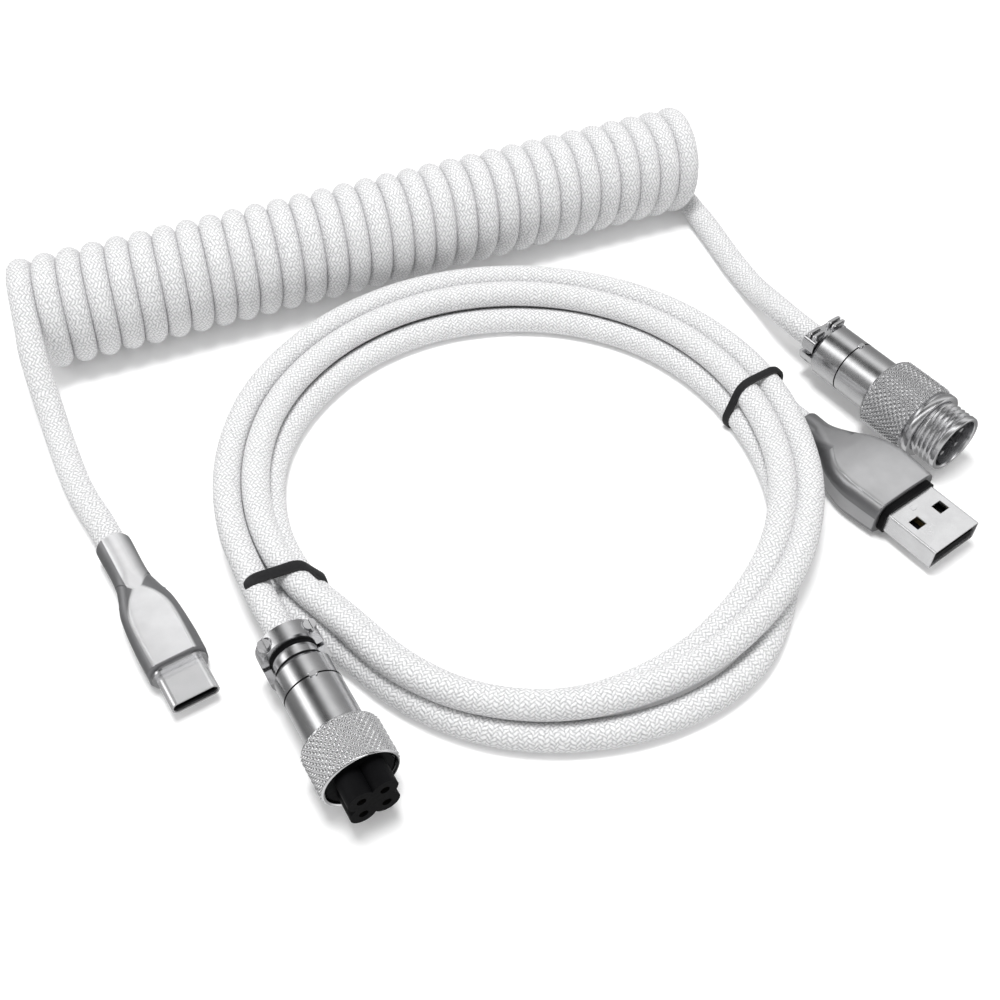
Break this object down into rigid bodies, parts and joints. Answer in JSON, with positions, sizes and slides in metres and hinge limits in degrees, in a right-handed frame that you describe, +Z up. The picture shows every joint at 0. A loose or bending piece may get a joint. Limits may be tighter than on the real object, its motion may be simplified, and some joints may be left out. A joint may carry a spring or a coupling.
{
  "type": "coiled keyboard cable set",
  "caption": "White braided keyboard cable in two screw-together pieces: a coiled lead with a USB-C plug and a tied-up plain lead with a USB-A plug",
  "frame": {"origin": "On the desk under the middle of the box round the four connectors, the two USB plugs and the two screw-lock ends", "axes": "+X runs along the coil towards the threaded end, +Z is up from the desk, and -Y is the side that the connectors point to"},
  "size_m": [0.1663, 0.1383, 0.0234],
  "materials": {
    "nickel": "bright nickel plate",
    "satin_zinc": "satin grey die-cast metal",
    "shell_steel": "satin steel",
    "black_plastic": "matt black nylon",
    "white_plastic": "white moulding",
    "contact_gold": "gold flash",
    "copper": "bare copper",
    "board_green": "circuit board",
    "white_braid": "tight white nylon braid",
    "band_rubber": "matt black"
  },
  "bodies": {
    "usb_c_end": {"usb_c_collar": "satin_zinc", "usb_c_housing": "satin_zinc", "usb_c_shell": "shell_steel", "usb_c_insulator": "black_plastic", "usb_c_contacts": "contact_gold", "usb_c_latches": "shell_steel", "usb_c_board": "board_green", "usb_c_front_ring": "nickel", "usb_c_conductors": "copper", "usb_c_inner_mould": "white_plastic", "coil_left_tail": "white_braid", "coil_windings": "white_braid"},
    "threaded_connector_end": {"threaded_rear_cap": "nickel", "threaded_cable_clamp": "nickel", "threaded_clamp_screws": "nickel", "threaded_barrel": "nickel", "threaded_front_shell": "nickel", "threaded_insulator": "black_plastic", "threaded_pins": "nickel", "threaded_retaining_ring": "nickel", "threaded_conductors": "copper", "coil_right_tail": "white_braid"},
    "loop_cable": {"socket_rear_cap": "nickel", "socket_cable_clamp": "nickel", "socket_clamp_screws": "nickel", "socket_barrel": "nickel", "socket_insulator": "black_plastic", "socket_contacts": "contact_gold", "socket_conductors": "copper", "usb_a_neck": "satin_zinc", "usb_a_housing": "satin_zinc", "usb_a_shell": "shell_steel", "usb_a_tongue": "black_plastic", "usb_a_contacts": "contact_gold", "usb_a_front_collar": "black_plastic", "usb_a_conductors": "copper", "usb_a_inner_mould": "white_plastic", "loop_hank_back": "white_braid", "loop_hank_front": "white_braid", "loop_socket_tail": "white_braid", "loop_usb_tail": "white_braid", "loop_tie_left": "band_rubber", "loop_tie_right": "band_rubber"},
    "nut_slide_ring": {"socket_slip_washer": "nickel"},
    "coupling_nut": {"socket_coupling_nut": "nickel"}
  },
  "joints": [
    {"name": "coil_stretch", "type": "slide", "parent": "usb_c_end", "child": "threaded_connector_end", "axis": [1, 0, 0], "range_m": [0, 0.15], "stiffness_N_per_m": 8, "deforming": ["coil_windings"]},
    {"name": "loop_cable_lift", "type": "slide", "parent": "usb_c_end", "child": "loop_cable", "axis": [0, 0, 1], "range_m": [0, 0.1]},
    {"name": "nut_slide", "type": "slide", "parent": "loop_cable", "child": "nut_slide_ring", "axis": [0.1409, -0.99, 0], "range_m": [0, 0.0018]},
    {"name": "nut_spin", "type": "hinge", "parent": "nut_slide_ring", "child": "coupling_nut", "pos_m": [-0.05096, -0.02527, 0.00765], "axis": [0.1409, -0.99, 0], "continuous": true}
  ]
}
